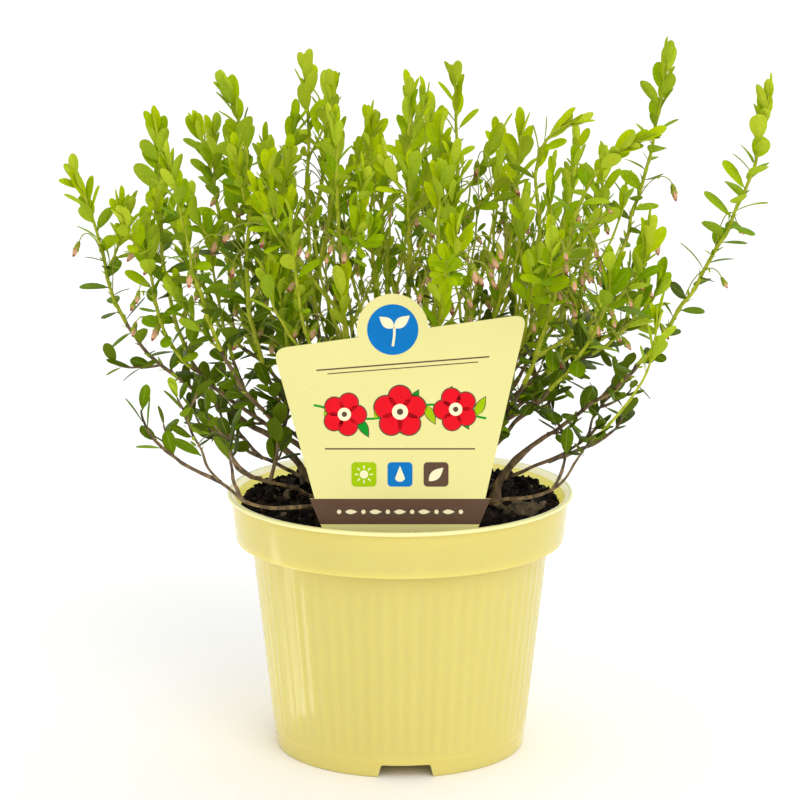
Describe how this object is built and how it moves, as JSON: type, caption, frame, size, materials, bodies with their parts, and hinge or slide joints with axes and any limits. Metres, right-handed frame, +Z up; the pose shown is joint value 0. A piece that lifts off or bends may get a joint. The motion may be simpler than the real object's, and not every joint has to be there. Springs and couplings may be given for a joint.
{
  "type": "potted cranberry plant",
  "caption": "Low evergreen cranberry shrub: wiry woody stems and upright leafy shoots fanning out of a round nursery pot with a plain plant label in the soil.",
  "frame": {"origin": "the pot's axis at the level it stands on", "axes": "+Z up along the pot's axis; -Y is the front, where the label stands; +X is the right as seen from the front"},
  "size_m": [0.2618, 0.205, 0.2673],
  "materials": {
    "pot": "pale yellow moulded plastic, satin gloss",
    "soil": "dark brown peat soil, coarse and crumbly",
    "label": "pale yellow printed card, smooth and matt",
    "bark": "thin brown bark with fine cracks",
    "foliage": "small oval leaves, glossy above and matt below"
  },
  "bodies": {
    "root": {"pot": "pot", "soil": "soil", "plant_label": "label", "stem_01": "bark", "stem_02": "bark", "stem_03": "bark", "stem_04": "bark", "stem_05": "bark", "stem_06": "bark", "stem_07": "bark", "stem_08": "bark", "stem_09": "bark", "stem_10": "bark", "stem_11": "bark", "stem_12": "bark", "stem_13": "bark", "stem_14": "bark", "stem_15": "bark", "stem_16": "bark", "stem_17": "bark", "stem_18": "bark", "stem_19": "bark", "stem_20": "bark", "stem_21": "bark", "stem_22": "bark", "stem_23": "bark", "stem_24": "bark", "stem_25": "bark", "stem_26": "bark", "stem_27": "bark", "stem_28": "bark", "shoots_01": "foliage", "shoots_02": "foliage", "shoots_03": "foliage", "shoots_04": "foliage", "shoots_05": "foliage", "shoots_06": "foliage", "shoots_07": "foliage", "shoots_08": "foliage", "shoots_09": "foliage", "shoots_10": "foliage", "shoots_11": "foliage", "shoots_12": "foliage", "shoots_13": "foliage", "shoots_14": "foliage", "shoots_15": "foliage", "shoots_16": "foliage", "shoots_17": "foliage", "shoots_18": "foliage", "shoots_19": "foliage", "shoots_20": "foliage", "shoots_21": "foliage", "shoots_22": "foliage", "shoots_23": "foliage", "shoots_24": "foliage", "shoots_25": "foliage", "shoots_26": "foliage", "shoots_27": "foliage", "shoots_28": "foliage"}
  },
  "joints": []
}
